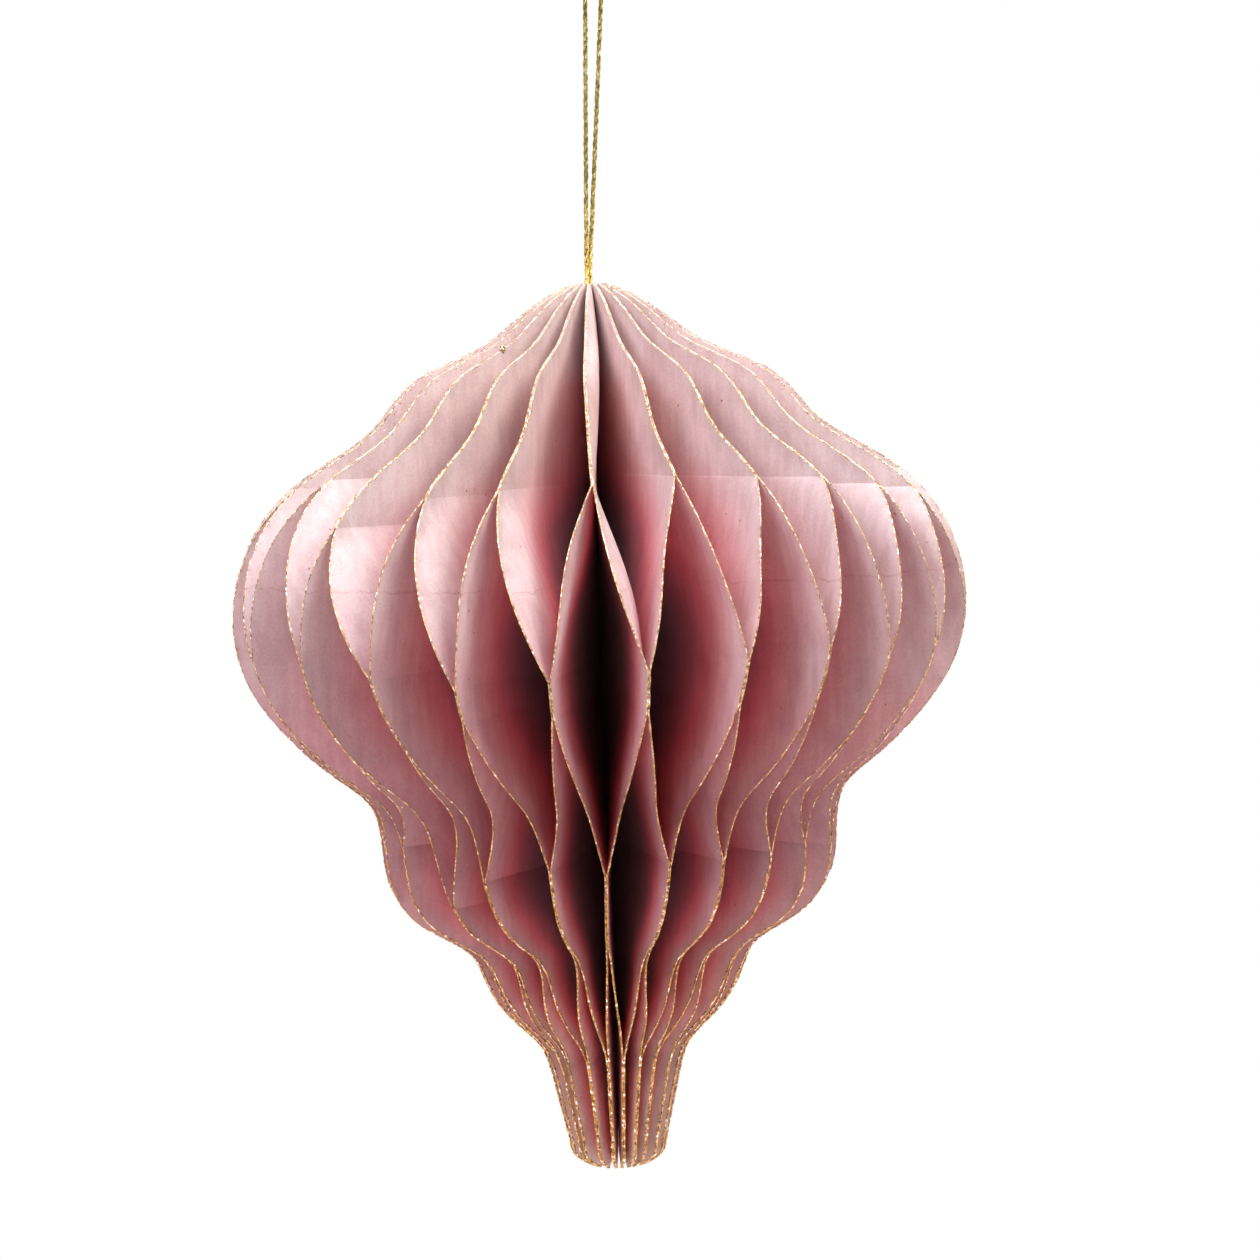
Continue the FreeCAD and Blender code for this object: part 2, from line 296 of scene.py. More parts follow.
paint, tree = new_material("pale floor")
spot = add(tree, "ShaderNodeTexCoord")
centred = add(tree, "ShaderNodeVectorMath", {1: (-AXIS_X, 0, -FLOOR_Z)}, operation="ADD")
reach = add(tree, "ShaderNodeVectorMath", operation="LENGTH")
fade = add(
    tree, "ShaderNodeMapRange", {"From Min": FADE_FROM, "From Max": FADE_TO},
    interpolation_type="SMOOTHSTEP")
ray = add(tree, "ShaderNodeLightPath")
both = add(tree, "ShaderNodeMath", operation="MULTIPLY")
matt = add(tree, "ShaderNodeBsdfDiffuse", {"Color": FLOOR_GREY})
glow = add(tree, "ShaderNodeEmission", {"Color": (1, 1, 1, 1), "Strength": 1})
choose = add(tree, "ShaderNodeMixShader")
out = add(tree, "ShaderNodeOutputMaterial")
join(tree, spot, "Object", centred, 0)
join(tree, centred, 0, reach, 0)
join(tree, reach, "Value", fade, "Value")
join(tree, fade, 0, both, 0)
join(tree, ray, "Is Camera Ray", both, 1)
join(tree, both, 0, choose, 0)
join(tree, matt, 0, choose, 1)
join(tree, glow, 0, choose, 2)
join(tree, choose, 0, out, 0)
floor.data.materials.append(paint)

# %% [markdown]
# ## The card
# The leaves are thin dyed card with a faint satin face. Light does three things in it: most of it
# is scattered back as dusty pink, a little glances off the smooth face, and some goes through the
# sheet and comes out a deeper red, which is why the folds glow. A Principled shader gives the
# first two and a Translucent shader the third. The shade deep in the cells is painted into the
# colour too: it deepens from dusty pink to dark red with the distance from the outer edge. Two
# curves, measured on one leaf, tell the shader how wide and how steep the outline is at each
# height, and a third how soon the painted shade deepens there. Light and shade by height are
# painted in as well: the card is paler at the tail's tip and on the upper half, and darker and
# redder between. The dye is mottled, and streaked along the leaf. Rare specks sit in it, and a
# faint line where the card was pressed wanders round the belly, a slight groove darkened with
# painted shade.

# %% Measure the outline
BOTTOM_Z, TOP_Z = edges[0][-1][2], edges[0][0][2]
WIDEST = 65 * MM
OUTLINE_POINTS = 33
heights = np.linspace(0, 1, OUTLINE_POINTS)
outline = edges[0][::-1]
out_from_axis = np.hypot(outline[:, 0] - AXIS_X, outline[:, 1])
widths = np.interp(BOTTOM_Z + heights * (TOP_Z - BOTTOM_Z), outline[:, 2], out_from_axis)
slopes = np.gradient(widths, heights * (TOP_Z - BOTTOM_Z))
uprights = 1 / np.hypot(1, slopes)
print("outline: widest %.1f mm, most slanting part %.0f degrees from upright" % (
    widths.max() / MM, np.degrees(np.arccos(uprights.min()))))

# %% The card's colours, painted light and shade, and pattern sizes
# Painted shade: the card's dusty pink at the outer edge, deepening to dark red deep in the cells
CARD_AND_SHADE_TONES = [
    (0.0, (0.82, 0.74, 0.73)), (0.15, (0.87, 0.73, 0.72)), (0.32, (0.97, 0.59, 0.60)),
    (0.50, (1.0, 0.40, 0.44)), (0.70, (0.70, 0.31, 0.36)), (1.0, (0.43, 0.30, 0.33)),
]
# Painted light and shade by height: paler at the tail's tip and on the upper half, darker and
# redder between
HEIGHT_LIGHT_AND_SHADE = [
    (0.0, (1, 0.90, 0.82)), (0.20, (0.88, 0.58, 0.56)), (0.36, (0.74, 0.50, 0.53)),
    (0.52, (0.83, 0.60, 0.63)), (0.63, (0.87, 0.83, 0.85)), (0.73, (0.86, 0.89, 0.90)),
    (0.86, (1, 0.96, 0.94)), (1.0, (1, 0.98, 0.96)),
]
DYE_TONES = [(0.40, (0.80, 0.72, 0.73)), (0.60, (1, 1, 1))]
# How fast the painted shade deepens the card's colour, at even heights from the bottom to the top
DEEPER = (3.0, 4.7, 4.4, 2.2, 1.5, 1.1, 0.85, 0.70, 0.64, 0.6)
MOST_DEEPER = 5.0
TONES_END = 30 * MM
CARD_SPECK = (0.42, 0.16, 0.17)
# Painted shade along the pressed line
PRESSED_LINE_SHADE = (0.48, 0.26, 0.26)
CARD_THROUGH = (0.88, 0.27, 0.31)
FIBRES_PER_METRE = 2600
CLOUDS_PER_METRE = 190
STREAKS_PER_METRE = 700
SPECKS_PER_METRE = 420
SPECK_R = 0.09            # as a share of the distance between specks
SPECKS_LEFT_OUT = 0.78    # the share of places that have no speck
STREAKED = 0.16           # how much slower the streaks change upwards than sideways
THROUGH_SHARE = 0.25      # the share of the light that the sheet lets through

# %% How far in from the outer edge
card, tree = new_material("dusty pink card")
spot = add(tree, "ShaderNodeTexCoord")
parts = add(tree, "ShaderNodeSeparateXYZ")
join(tree, spot, "Object", parts, 0)
level = add(tree, "ShaderNodeVectorMath", {1: (1, 1, 0)}, operation="MULTIPLY")
centred = add(tree, "ShaderNodeVectorMath", {1: (-AXIS_X, 0, 0)}, operation="ADD")
reach = add(tree, "ShaderNodeVectorMath", operation="LENGTH")
join(tree, spot, "Object", level, 0)
join(tree, level, 0, centred, 0)
join(tree, centred, 0, reach, 0)
rise = add(tree, "ShaderNodeMapRange", {"From Min": BOTTOM_Z, "From Max": TOP_Z})
join(tree, parts, "Z", rise, "Value")


def curve_node(tree, values):
    """A float curve through evenly spaced values."""
    made = add(tree, "ShaderNodeFloatCurve")
    line = made.mapping.curves[0]
    while len(line.points) < len(values):
        line.points.new(0.5, 0.5)
    for point, at, value in zip(line.points, np.linspace(0, 1, len(values)), values):
        point.location = (at, value)
    made.mapping.update()
    return made


width_here = curve_node(tree, widths / WIDEST)
upright_here = curve_node(tree, uprights)
for curve in (width_here, upright_here):
    join(tree, rise, 0, curve, "Value")
out_to = add(tree, "ShaderNodeMath", {1: WIDEST}, operation="MULTIPLY")
inwards = add(tree, "ShaderNodeMath", operation="SUBTRACT")
square_in = add(tree, "ShaderNodeMath", operation="MULTIPLY")
depth = add(tree, "ShaderNodeMath", {1: TONES_END / MOST_DEEPER}, operation="DIVIDE")
join(tree, width_here, 0, out_to, 0)
join(tree, out_to, 0, inwards, 0)
join(tree, reach, "Value", inwards, 1)
join(tree, inwards, 0, square_in, 0)
join(tree, upright_here, 0, square_in, 1)
sooner = curve_node(tree, np.array(DEEPER) / MOST_DEEPER)
scaled_in = add(tree, "ShaderNodeMath", operation="MULTIPLY")
join(tree, rise, 0, sooner, "Value")
join(tree, square_in, 0, scaled_in, 0)
join(tree, sooner, 0, scaled_in, 1)
join(tree, scaled_in, 0, depth, 0)

# %% The card's colour, with painted light and shade
clouds = add(tree, "ShaderNodeTexNoise", {"Scale": CLOUDS_PER_METRE, "Detail": 4})
fibres = add(tree, "ShaderNodeTexNoise", {"Scale": FIBRES_PER_METRE, "Detail": 2})
brushed = add(tree, "ShaderNodeMapping", {"Scale": (1, 1, STREAKED)})
streaks = add(tree, "ShaderNodeTexNoise", {"Scale": STREAKS_PER_METRE, "Detail": 3})
for pattern in (clouds, fibres, brushed):
    join(tree, spot, "Object", pattern, "Vector")
join(tree, brushed, 0, streaks, "Vector")
# Painted shade: the colour deepens with the depth in from the outer edge
tones = ramp(tree, CARD_AND_SHADE_TONES)
join(tree, depth, 0, tones, 0)
uneven = add(tree, "ShaderNodeMath", operation="ADD")
grainy = add(tree, "ShaderNodeMath", operation="ADD")
third = add(tree, "ShaderNodeMath", {1: 1 / 3}, operation="MULTIPLY")
join(tree, clouds, 0, uneven, 0)
join(tree, streaks, 0, uneven, 1)
join(tree, uneven, 0, grainy, 0)
join(tree, fibres, 0, grainy, 1)
join(tree, grainy, 0, third, 0)
dye = ramp(tree, DYE_TONES)
join(tree, third, 0, dye, 0)
# Painted light and shade by height
lit_by_height = ramp(tree, HEIGHT_LIGHT_AND_SHADE)
join(tree, rise, 0, lit_by_height, 0)


def times(tree, first, first_output, second, second_output):
    """One colour multiplied by another."""
    made = add(tree, "ShaderNodeMix", {0: 1}, data_type="RGBA", blend_type="MULTIPLY")
    join(tree, first, first_output, made, COLOUR_A)
    join(tree, second, second_output, made, COLOUR_B)
    return made


# The card's tones with their painted shade, times the dye's mottling and the painted light and
# shade by height
dyed_and_shaded = times(tree, times(tree, tones, 0, dye, 0), COLOUR_OUT, lit_by_height, 0)

# %% The card's specks
cells = add(tree, "ShaderNodeTexVoronoi", {"Scale": SPECKS_PER_METRE})
join(tree, spot, "Object", cells, "Vector")
near = add(tree, "ShaderNodeMath", {1: SPECK_R}, operation="LESS_THAN")
rare = add(tree, "ShaderNodeMath", {1: SPECKS_LEFT_OUT}, operation="GREATER_THAN")
speck = add(tree, "ShaderNodeMath", operation="MULTIPLY")
join(tree, cells, "Distance", near, 0)
join(tree, cells, "Color", rare, 0)
join(tree, near, 0, speck, 0)
join(tree, rare, 0, speck, 1)
speckled = add(tree, "ShaderNodeMix", {COLOUR_B: (*CARD_SPECK, 1)}, data_type="RGBA")
join(tree, speck, 0, speckled, 0)
join(tree, dyed_and_shaded, COLOUR_OUT, speckled, COLOUR_A)

# %% The pressed line, darkened with painted shade
PRESSED_Z = LEAVES_TOP - 49.0 * MM
PRESSED_WIDE = 0.24 * MM
PRESSED_SHADE_STRENGTH = 0.55
PRESSED_WANDER = 1.6 * MM
WORN_FROM, WORN_TO = 0.42, 0.56    # below the first, the clouds wear the line away
wander = add(tree, "ShaderNodeMapRange", {
    "To Min": -PRESSED_Z - PRESSED_WANDER, "To Max": -PRESSED_Z + PRESSED_WANDER})
from_line = add(tree, "ShaderNodeMath", operation="ADD")
off_line = add(tree, "ShaderNodeMath", operation="ABSOLUTE")
pressed = add(
    tree, "ShaderNodeMapRange", {"From Max": PRESSED_WIDE, "To Min": PRESSED_SHADE_STRENGTH, "To Max": 0})
worn_away = add(tree, "ShaderNodeMapRange", {"From Min": WORN_FROM, "From Max": WORN_TO})
line_here = add(tree, "ShaderNodeMath", operation="MULTIPLY")
# Painted shade darkens the card along the pressed line
shaded_crease = add(tree, "ShaderNodeMix", {COLOUR_B: (*PRESSED_LINE_SHADE, 1)}, data_type="RGBA")
join(tree, clouds, 0, wander, "Value")
join(tree, parts, "Z", from_line, 0)
join(tree, wander, 0, from_line, 1)
join(tree, from_line, 0, off_line, 0)
join(tree, off_line, 0, pressed, "Value")
join(tree, clouds, 0, worn_away, "Value")
join(tree, pressed, 0, line_here, 0)
join(tree, worn_away, 0, line_here, 1)
join(tree, line_here, 0, shaded_crease, 0)
join(tree, speckled, COLOUR_OUT, shaded_crease, COLOUR_A)

# %% The card's surface
GRAIN_HEIGHT = 0.02 * MM
relief = add(tree, "ShaderNodeMath", operation="SUBTRACT")
grain = add(tree, "ShaderNodeBump", {"Strength": 0.3, "Distance": GRAIN_HEIGHT})
join(tree, fibres, 0, relief, 0)
join(tree, line_here, 0, relief, 1)
join(tree, relief, 0, grain, "Height")
face = add(tree, "ShaderNodeBsdfPrincipled", {"Roughness": 0.55, "Specular IOR Level": 0.35})
join(tree, shaded_crease, COLOUR_OUT, face, "Base Color")
join(tree, grain, 0, face, "Normal")
through = add(tree, "ShaderNodeBsdfTranslucent", {"Color": (*CARD_THROUGH, 1)})
sheet = add(tree, "ShaderNodeMixShader", {0: THROUGH_SHARE})
out = add(tree, "ShaderNodeOutputMaterial")
join(tree, face, 0, sheet, 1)
join(tree, through, 0, sheet, 2)
join(tree, sheet, 0, out, 0)
for leaf in leaves:
    leaf.data.materials.clear()
    leaf.data.materials.append(card)

# %% [markdown]
# ## The thread's route
# The thread is one strand, doubled over the hook: up one side, over, and down the other, with both
# ends knotted in the core. It carries the weight, so its runs are straight. A NURBS curve with a
# point at each bend gives one smooth line, and two more points close to the top hold the long runs
# straight where they turn over the hook.

# %% The route as a NURBS curve
ROUTE = [
    (-0.55, -0.38, -9.0), (-0.55, -0.38, 1.0), (-0.28, 0.00, 14.0), (0.685, 0.00, 51.2),
    (0.81, 0.00, 56.0), (3.82, 0.00, 56.0), (3.486, 0.00, 51.2), (0.90, 0.00, 14.0),
    (-0.12, 0.38, 1.0), (-0.12, 0.38, -9.0),
]


def points_along(curve):
    """The points of a curve with no thickness, in order along it."""
    holder = bpy.data.objects.new("route", curve)
    bpy.context.collection.objects.link(holder)
    mesh = bpy.data.meshes.new_from_object(holder)
    line = np.array([vertex.co for vertex in mesh.vertices])
    bpy.data.meshes.remove(mesh)
    bpy.data.objects.remove(holder)
    return line


route = bpy.data.curves.new("route", "CURVE")
route.dimensions = "3D"
route.resolution_u = 24
spline = route.splines.new("NURBS")
spline.points.add(len(ROUTE) - 1)
for point, (x, y, height) in zip(spline.points, ROUTE):
    point.co = (*place(x, y, height), 1)
spline.use_endpoint_u = True
spline.order_u = 3
thread_line = points_along(route)
thread_length = float(np.linalg.norm(np.diff(thread_line, axis=0), axis=1).sum())
print("thread: %d points, %.1f mm long" % (len(thread_line), thread_length / MM))

# %% [markdown]
# ## Twisting the thread
# Metallic thread is three thin plies, each wrapped in bright film, laid round each other. A single
# tube would look like wire, so every ply is a tube of its own that winds round the route. To wind
# it, each point of the route needs two directions across it that don't spin as the line turns, and
# they are carried from point to point. The plies are a little uneven, as real ones are.

# %% Helpers for a twisted strand
ASKEW = (0.3, 1, 0.2)     # any direction that no line here starts along


def directions(line):
    """Along, and two directions across, at each point of a line."""
    along = np.gradient(line, axis=0)
    along /= np.linalg.norm(along, axis=1, keepdims=True)
    first = np.cross(along[0], ASKEW)
    across = [first / np.linalg.norm(first)]
    for direction in along[1:]:
        carried = across[-1] - direction * np.dot(across[-1], direction)
        across.append(carried / np.linalg.norm(carried))
    across = np.array(across)
    return along, across, np.cross(along, across)


def tube(line, radius, sides, turn=0.0):
    """Points and faces of a closed tube along a line. turn is its twist in radians a metre."""
    _, one, two = directions(line)
    at = np.linspace(0, 2 * pi, sides, endpoint=False)
    run = np.concatenate([[0], np.cumsum(np.linalg.norm(np.diff(line, axis=0), axis=1))])
    angle = at[None, :] + turn * run[:, None]
    radius = np.broadcast_to(np.asarray(radius, float).reshape(-1, 1), (len(line), 1))
    rings = line[:, None] + radius[..., None] * (
        np.cos(angle)[..., None] * one[:, None] + np.sin(angle)[..., None] * two[:, None])
    ring = np.arange(sides)
    faces = []
    for start in range(0, (len(line) - 1) * sides, sides):
        for k in ring:
            n = (k + 1) % sides
            faces.append((start + k, start + n, start + sides + n, start + sides + k))
    last = (len(line) - 1) * sides
    faces.append(tuple(reversed(range(sides))))
    faces.append(tuple(range(last, last + sides)))
    return rings.reshape(-1, 3), faces


def mesh_piece(name, parts, material):
    """One object from several (points, faces) parts, which rides with the ornament."""
    points, faces, start = [], [], 0
    for part_points, part_faces in parts:
        points.append(part_points)
        faces += [tuple(start + corner for corner in face) for face in part_faces]
        start += len(part_points)
    mesh = bpy.data.meshes.new(name)
    mesh.from_pydata(np.concatenate(points).tolist(), [], faces)
    mesh.materials.append(material)
    piece = bpy.data.objects.new(name, mesh)
    bpy.context.collection.objects.link(piece)
    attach(piece, "root")
    return piece


# %% The plies of a strand
PLIES = 3
PLY_R = 0.20 * MM
PLY_OUT = 0.205 * MM      # from the route to the middle of a ply
PLY_SIDES = 7
LAY = 4.6 * MM            # length in which a ply goes once round
OWN_TWIST = 1.9 * MM      # and in which it turns once about itself
WIND_STEP = 0.16 * MM
WAVER, WAVER_OVER = 0.35, 3.1 * MM      # radians that a ply wanders round the route
SWAY, SWAY_OVER = 0.12, 1.7 * MM        # share of PLY_OUT that it moves in and out
VARIES, VARIES_MOST = 0.10, 1.5         # share that its radius varies by, and the most times that


def strand(line, seed):
    """The plies that wind round a line, as parts for mesh_piece. Slow sines keep them uneven."""
    chance = np.random.default_rng(seed)
    line = evenly(line, WIND_STEP)
    _, one, two = directions(line)
    run = np.arange(len(line)) * WIND_STEP
    parts = []
    for ply in range(PLIES):
        phase = 2 * pi * ply / PLIES + WAVER * np.sin(run / WAVER_OVER + ply)
        angle = phase + 2 * pi * run / LAY
        out = PLY_OUT * (1 + SWAY * np.sin(run / SWAY_OVER + 2 * ply))
        wound = line + out[:, None] * (np.cos(angle)[:, None] * one + np.sin(angle)[:, None] * two)
        varied = chance.standard_normal(len(line)).clip(-VARIES_MOST, VARIES_MOST)
        radius = PLY_R * (1 + VARIES * varied)
        parts.append(tube(wound, radius, PLY_SIDES, turn=2 * pi / OWN_TWIST))
    return parts


# %% [markdown]
# The film is bright at each bend and dark between, and the brightest patches of its colour are
# painted glints that stand in for that. Low down, near the white cap, it catches the most light,
# and higher up it lies in more shade and looks duller and greener, so painted shade dulls the
# colour with height.

# %% The gold of the thread
THREAD_SHADE_OVER = 16 * MM
FILM_PER_METRE = 2400
TURNS_PER_METRE = 420
gold, tree = new_material("gold thread")
spot = add(tree, "ShaderNodeTexCoord")
film = add(tree, "ShaderNodeTexVoronoi", {"Scale": FILM_PER_METRE})
turns = add(tree, "ShaderNodeTexNoise", {"Scale": TURNS_PER_METRE, "Detail": 2})
for pattern in (film, turns):
    join(tree, spot, "Object", pattern, "Vector")
shine = add(tree, "ShaderNodeMix", {"Factor": 0.62}, data_type="FLOAT")
join(tree, film, "Color", shine, "A")
join(tree, turns, 0, shine, "B")
# The brightest tones are painted glints
tones = ramp(tree, [
    (0.28, (0.21, 0.14, 0.02)), (0.46, (0.48, 0.33, 0.07)), (0.58, (0.78, 0.58, 0.18)),
    (0.70, (1.0, 0.90, 0.58)),
])
join(tree, shine, 0, tones, 0)
heights_of = add(tree, "ShaderNodeSeparateXYZ")
join(tree, spot, "Object", heights_of, 0)
climb = add(
    tree, "ShaderNodeMapRange", {"From Min": LEAVES_TOP, "From Max": LEAVES_TOP + THREAD_SHADE_OVER})
join(tree, heights_of, "Z", climb, "Value")
# Painted shade: the gold darkens and dulls with height
thread_height_shade = ramp(tree, [(0.0, (1, 1, 1)), (0.5, (0.62, 0.62, 0.52)), (1.0, (0.40, 0.42, 0.36))])
join(tree, climb, 0, thread_height_shade, 0)
thread_shaded = times(tree, tones, 0, thread_height_shade, 0)
metal = add(tree, "ShaderNodeBsdfPrincipled", {"Metallic": 0.9, "Roughness": 0.34})
join(tree, thread_shaded, COLOUR_OUT, metal, "Base Color")
out = add(tree, "ShaderNodeOutputMaterial")
join(tree, metal, 0, out, 0)

# %% Twist the thread
thread = mesh_piece("twisted_thread", strand(thread_line, 7), gold)
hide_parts("hanging_thread")

# %% [markdown]
# ## The knot
# The two ends are tied together in the core, out of sight, so that the thread can't pull out. An
# overhand knot is the closed curve that mathematicians call a trefoil, so a short formula draws
# it, and the same strand winds along it.

# %% Tie the knot
KNOT_R, LOBES, KNOT_RISE = 0.95 * MM, 0.42 * MM, 1.15 * MM
KNOT_BELOW = 1.7 * MM     # its middle, below the top of the frame's own knot
low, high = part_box("thread_knot")
knot_middle = np.array([(low.x + high.x) / 2, (low.y + high.y) / 2, high.z - KNOT_BELOW])
t = np.linspace(0, 2 * pi, 200)
wide = KNOT_R + LOBES * np.cos(3 * t)
trefoil = np.stack(
    [wide * np.cos(2 * t), wide * np.sin(2 * t), KNOT_RISE * np.sin(3 * t)], axis=1)
parts = strand(knot_middle + trefoil, 11)
# The two cut ends hang out below
for side in (-1, 1):
    tail = np.array([
        knot_middle + (0.4 * MM * side, 0, -1.0 * MM),
        (knot_middle[0] + 0.6 * MM * side, 0.1 * MM, low.z + 0.3 * MM),
    ])
    parts += strand(tail, 12 + side)
knot = mesh_piece("tied_knot", parts, gold)
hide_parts("thread_knot")

# %% [markdown]
# ## The glittered edges
# Each leaf's outer edge was run through glue and dipped in glitter. What stays is a rough bead of
# tiny gold flakes over the cut edge, and strays that stuck to both faces beside it. Gold paint on
# the edge would be quick, but it would stay a smooth flat line. So the bead is a thin tube along
# the edge, shaken point by point, and single flakes are strewn over it and next to it. A flake is
# cut from hexagonal film, so it is a six-sided plate, modelled once and copied. Each height has
# its own fullness: thin at the cap, thick on the tail. The gold turns from pale to reddish on the
# way down, and that is painted reflection: it stands in for the white that the upper flakes mirror
# and the pink leaves that the lower ones mirror.

# %% The bead
BEAD_R = 0.11 * MM
SHAKE = 0.07 * MM
# How full the glitter is at some depths below the leaves' top, in millimetres: worn thin by fingers
# at the cap, and thickest on the tail, where the dip was deepest
FULLNESS = [(122, 1.45), (100, 1.0), (24, 1.0), (10, 0.45)]


def fullness(heights):
    """How full the glitter is at some heights."""
    at = [place(0, 0, -below).z for below, _ in FULLNESS]
    return np.interp(heights, at, [full for _, full in FULLNESS])


def bead(line, radii, shake, seed):
    """Points and faces of a rough tube along a line: a curve given thickness and shaken."""
    mesh = bpy.data.meshes.new("bead")
    mesh.from_pydata(line.tolist(), [(n, n + 1) for n in range(len(line) - 1)], [])
    tube_piece = bpy.data.objects.new("bead", mesh)
    bpy.context.collection.objects.link(tube_piece)
    only(tube_piece)
    bpy.ops.object.convert(target="CURVE")
    tube_piece.data.bevel_depth = 1
    tube_piece.data.bevel_resolution = 1
    tube_piece.data.use_fill_caps = True
    for point, radius in zip(tube_piece.data.splines[0].points, radii):
        point.radius = radius
    bpy.ops.object.convert(target="MESH")
    bpy.ops.object.mode_set(mode="EDIT")
    bpy.ops.mesh.select_all(action="SELECT")
    bpy.ops.transform.vertex_random(offset=shake, uniform=1.0, normal=0.0, seed=seed)
    bpy.ops.mesh.normals_make_consistent(inside=False)
    bpy.ops.object.mode_set(mode="OBJECT")
    points = np.array([vertex.co for vertex in tube_piece.data.vertices])
    faces = [tuple(face.vertices) for face in tube_piece.data.polygons]
    bpy.data.meshes.remove(tube_piece.data)
    return points, faces


# %% One flake
FLAKE_SIDES, FLAKE_THICK = 6, 0.3       # for a flake of radius 1
FLAKE_TOP = (0.8, 0.7, 1)
FLAKE_SLANT = radians(4)
bpy.ops.object.select_all(action="DESELECT")
bpy.ops.mesh.primitive_cylinder_add(vertices=FLAKE_SIDES, radius=1, depth=FLAKE_THICK)
flake = bpy.context.active_object
for face in flake.data.polygons:
    face.select = face.normal.z > 0.9
bpy.ops.object.mode_set(mode="EDIT")
bpy.ops.transform.resize(value=FLAKE_TOP)
bpy.ops.transform.rotate(
    value=FLAKE_SLANT, orient_axis="X", center_override=(0, 0, FLAKE_THICK / 2))
bpy.ops.object.mode_set(mode="OBJECT")
flake_points = np.array([vertex.co for vertex in flake.data.vertices])
flake_faces = [tuple(face.vertices) for face in flake.data.polygons]
bpy.data.meshes.remove(flake.data)
print("a flake has %d faces" % len(flake_faces))

# %% Strew the flakes
FLAKE_R = (0.08 * MM, 0.18 * MM)
FLAKE_TILT = 0.45
FLAKE_LIFT = 0.02 * MM    # above the card that a stray lies on
ON_BEAD, BESIDE = 260, 120
STRAY = 0.35 * MM         # how far in from the edge a flake strays, on average
CAP_STRAY = 0.9 * MM      # and near the cap, where hands spread more of them
CAP_DEPTH = 16 * MM
NEARER_TOP = 1.25         # above 1, more of the strays lie near the top
SEARCH_FROM = 0.4 * MM    # how far off the card a stray starts, before the nearest face is found


def strewn(middles, normals, chance):
    """Points and faces of a flake at each middle, lying nearly flat and turned at random."""
    count = len(middles)
    normals = normals + FLAKE_TILT * chance.standard_normal((count, 3))
    normals /= np.linalg.norm(normals, axis=1, keepdims=True)
    one = np.cross(normals, chance.standard_normal((count, 3)))
    one /= np.linalg.norm(one, axis=1, keepdims=True)
    two = np.cross(normals, one)
    size = chance.uniform(*FLAKE_R, (count, 1, 1))
    frames = np.stack([one, two, normals], axis=1)
    points = middles[:, None] + size * (flake_points @ frames)
    faces = [
        tuple(len(flake_points) * n + corner for corner in face)
        for n in range(count) for face in flake_faces
    ]
    return points.reshape(-1, 3), faces


def flakes_on(line, mesh, chance):
    """Flakes on the bead, and others beside it, laid on the leaf's own faces."""
    _, one, two = directions(line)
    at = chance.integers(0, len(line), ON_BEAD)
    at = at[chance.uniform(0, 1, ON_BEAD) < fullness(line[at, 2]) ** 2]
    turn = chance.uniform(0, 2 * pi, (len(at), 1))
    outwards = np.cos(turn) * one[at] + np.sin(turn) * two[at]
    parts = [strewn(line[at] + outwards * BEAD_R * fullness(line[at, 2:]), outwards, chance)]
    tree = BVHTree.FromPolygons(mesh[0].tolist(), mesh[1].tolist())
    at = (len(line) * chance.uniform(0, 1, BESIDE) ** NEARER_TOP).astype(int)
    starts = line[at]
    stray = np.where(line[0, 2] - starts[:, 2] < CAP_DEPTH, CAP_STRAY, STRAY)
    inward = np.array([AXIS_X, 0]) - starts[:, :2]
    inward /= np.linalg.norm(inward, axis=1, keepdims=True)
    sideways = np.stack([-inward[:, 1], inward[:, 0]], axis=1)
    sideways *= chance.choice((-1, 1), (BESIDE, 1)) * SEARCH_FROM
    starts[:, :2] += inward * chance.exponential(stray)[:, None] + sideways
    found = [tree.find_nearest(Vector(start)) for start in starts]
    normals = np.array([hit[1] for hit in found])
    middles = np.array([hit[0] for hit in found]) + normals * FLAKE_LIFT
    return parts + [strewn(middles, normals, chance)]


# %% The gold of the glitter
# Painted reflection: paler above, where the flakes mirror the white around, redder below, where
# they mirror the pink leaves
PALE_ABOVE, RED_BELOW = place(0, 0, -30).z, place(0, 0, -85).z
BITS_PER_METRE = 2800
glitter, tree = new_material("gold glitter")
spot = add(tree, "ShaderNodeTexCoord")
bits = add(tree, "ShaderNodeTexVoronoi", {"Scale": BITS_PER_METRE})
join(tree, spot, "Object", bits, "Vector")
pale_golds = ramp(tree, [
    (0.0, (0.14, 0.08, 0.03)), (0.30, (0.36, 0.23, 0.10)), (0.52, (0.56, 0.41, 0.23)),
    (0.76, (0.68, 0.56, 0.41)), (1.0, (0.87, 0.80, 0.72)),
])
red_golds = ramp(tree, [
    (0.0, (0.10, 0.03, 0.01)), (0.30, (0.30, 0.13, 0.025)), (0.55, (0.54, 0.27, 0.07)),
    (0.76, (0.73, 0.43, 0.20)), (0.86, (0.95, 0.77, 0.58)), (1.0, (1, 0.93, 0.82)),
])
for golds in (pale_golds, red_golds):
    join(tree, bits, "Color", golds, 0)
heights_of = add(tree, "ShaderNodeSeparateXYZ")
join(tree, spot, "Object", heights_of, 0)
fall = add(tree, "ShaderNodeMapRange", {"From Min": PALE_ABOVE, "From Max": RED_BELOW})
join(tree, heights_of, "Z", fall, "Value")
painted_reflection_golds = add(tree, "ShaderNodeMix", data_type="RGBA")
join(tree, fall, 0, painted_reflection_golds, 0)
join(tree, pale_golds, 0, painted_reflection_golds, COLOUR_A)
join(tree, red_golds, 0, painted_reflection_golds, COLOUR_B)
metal = add(tree, "ShaderNodeBsdfPrincipled", {"Metallic": 0.85, "Roughness": 0.38})
join(tree, painted_reflection_golds, COLOUR_OUT, metal, "Base Color")
out = add(tree, "ShaderNodeOutputMaterial")
join(tree, metal, 0, out, 0)

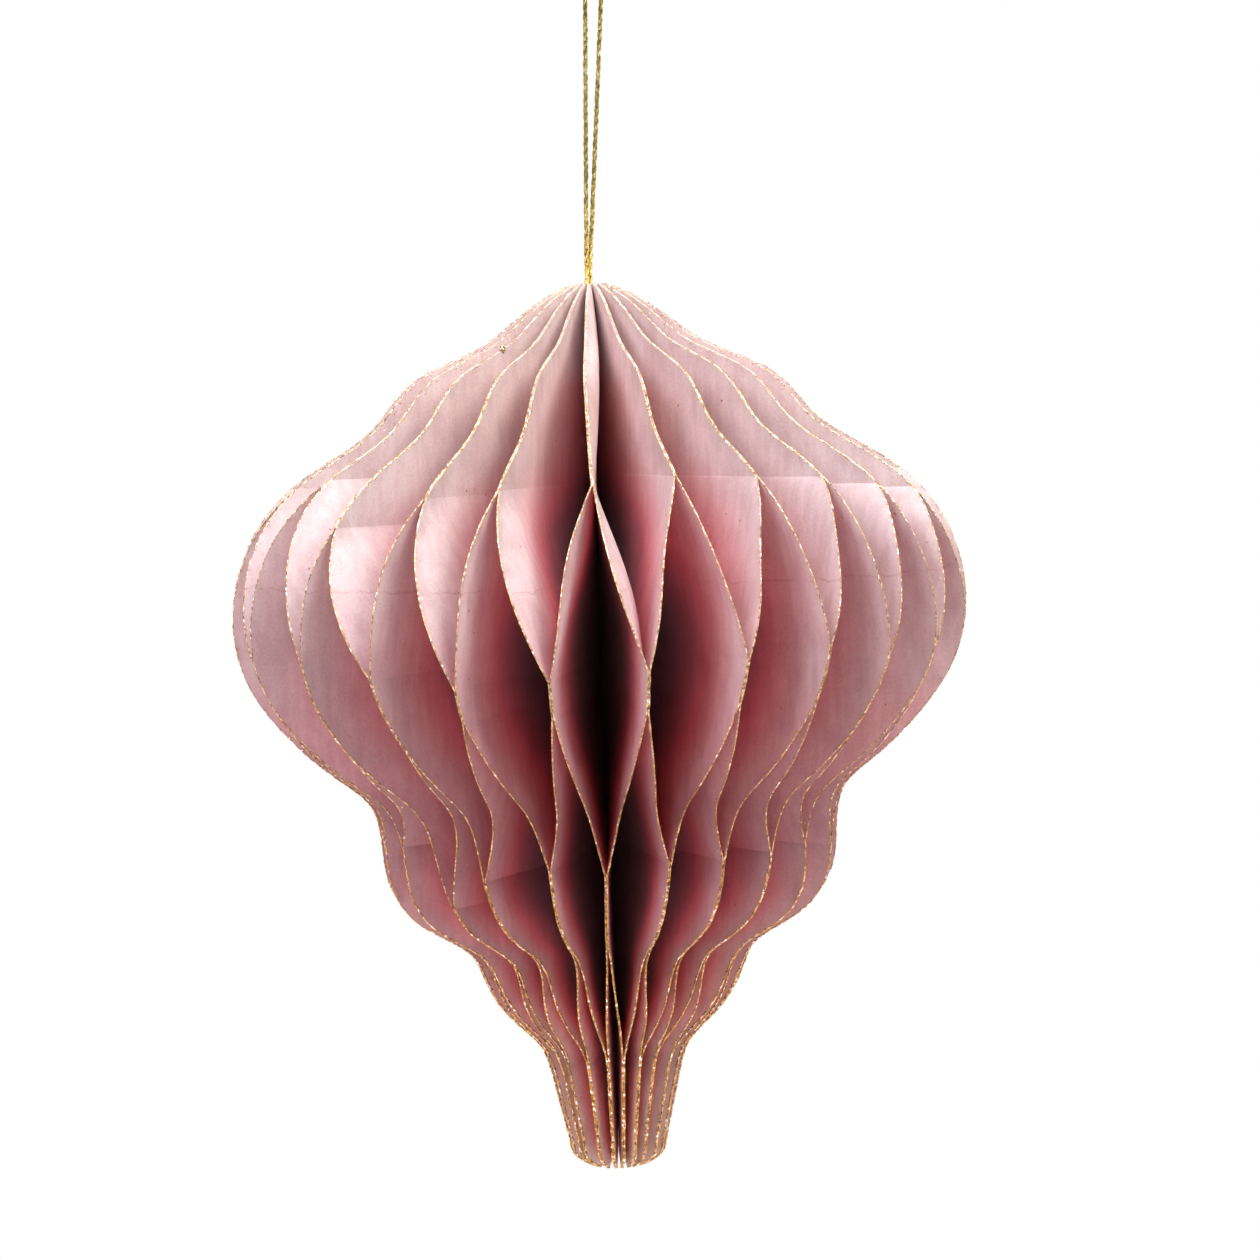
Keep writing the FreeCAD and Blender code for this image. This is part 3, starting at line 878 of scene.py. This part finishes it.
# %% A clump of glitter
CLUMP_LEAF = 43
CLUMP_Z = place(0, 0, -10.7).z
CLUMP_R = 0.42 * MM
CLUMP_TALL = 1.5          # times its radius
CLUMP_FLAKES = 130


def clump(line, chance):
    """A small heap of flakes on the edge, where a drop of glue stayed."""
    middle = line[np.argmin(np.abs(line[:, 2] - CLUMP_Z))]
    outwards = middle - (AXIS_X, 0, middle[2])
    outwards /= np.linalg.norm(outwards)
    towards = chance.standard_normal((CLUMP_FLAKES, 3))
    towards /= np.linalg.norm(towards, axis=1, keepdims=True)
    heap = middle + outwards * CLUMP_R + towards * (1, 1, CLUMP_TALL) * CLUMP_R
    return strewn(heap, towards, chance)


# %% Glitter every leaf
faces_made = 0
for number, (line, mesh) in enumerate(zip(edges, meshes), start=1):
    chance = np.random.default_rng(number)
    rough = bead(line, BEAD_R * fullness(line[:, 2]), SHAKE, number)
    parts = [rough] + flakes_on(line, mesh, chance)
    if number == CLUMP_LEAF:
        parts.append(clump(line, chance))
    piece = mesh_piece("glitter_edge_%02d" % number, parts, glitter)
    faces_made += len(piece.data.polygons)
print("glitter: %d faces" % faces_made)

# %% [markdown]
# ## The glue in the core
# Something holds the leaves' inner edges together, and it is glue run down the open core. It
# hardly shows, but without it light would pass right through between two leaves. It is the same
# rough tube as the bead, only thicker.

# %% Run glue down the core
GLUE_R, GLUE_SHAKE, GLUE_STEP = 1.75 * MM, 0.2 * MM, 1.2 * MM
GLUE_TOP, GLUE_END = low.z - 0.5 * MM, BOTTOM_Z + 6 * MM
LUMPS_PER_METRE = 500
glue_line = evenly(np.array([(AXIS_X, 0, GLUE_TOP), (AXIS_X, 0, GLUE_END)]), GLUE_STEP)
dried, tree = new_material("dried glue")
spot = add(tree, "ShaderNodeTexCoord")
lumps = add(tree, "ShaderNodeTexNoise", {"Scale": LUMPS_PER_METRE, "Detail": 2})
join(tree, spot, "Object", lumps, "Vector")
browns = ramp(tree, [(0.35, (0.10, 0.05, 0.04)), (0.65, (0.24, 0.14, 0.11))])
join(tree, lumps, 0, browns, 0)
gum = add(tree, "ShaderNodeBsdfPrincipled", {"Roughness": 0.5})
join(tree, browns, 0, gum, "Base Color")
out = add(tree, "ShaderNodeOutputMaterial")
join(tree, gum, 0, out, 0)
glue_parts = [bead(glue_line, [GLUE_R] * len(glue_line), GLUE_SHAKE, 99)]
mesh_piece("core_glue", glue_parts, dried)
print("core_glue: %.0f mm long" % ((GLUE_TOP - GLUE_END) / MM))
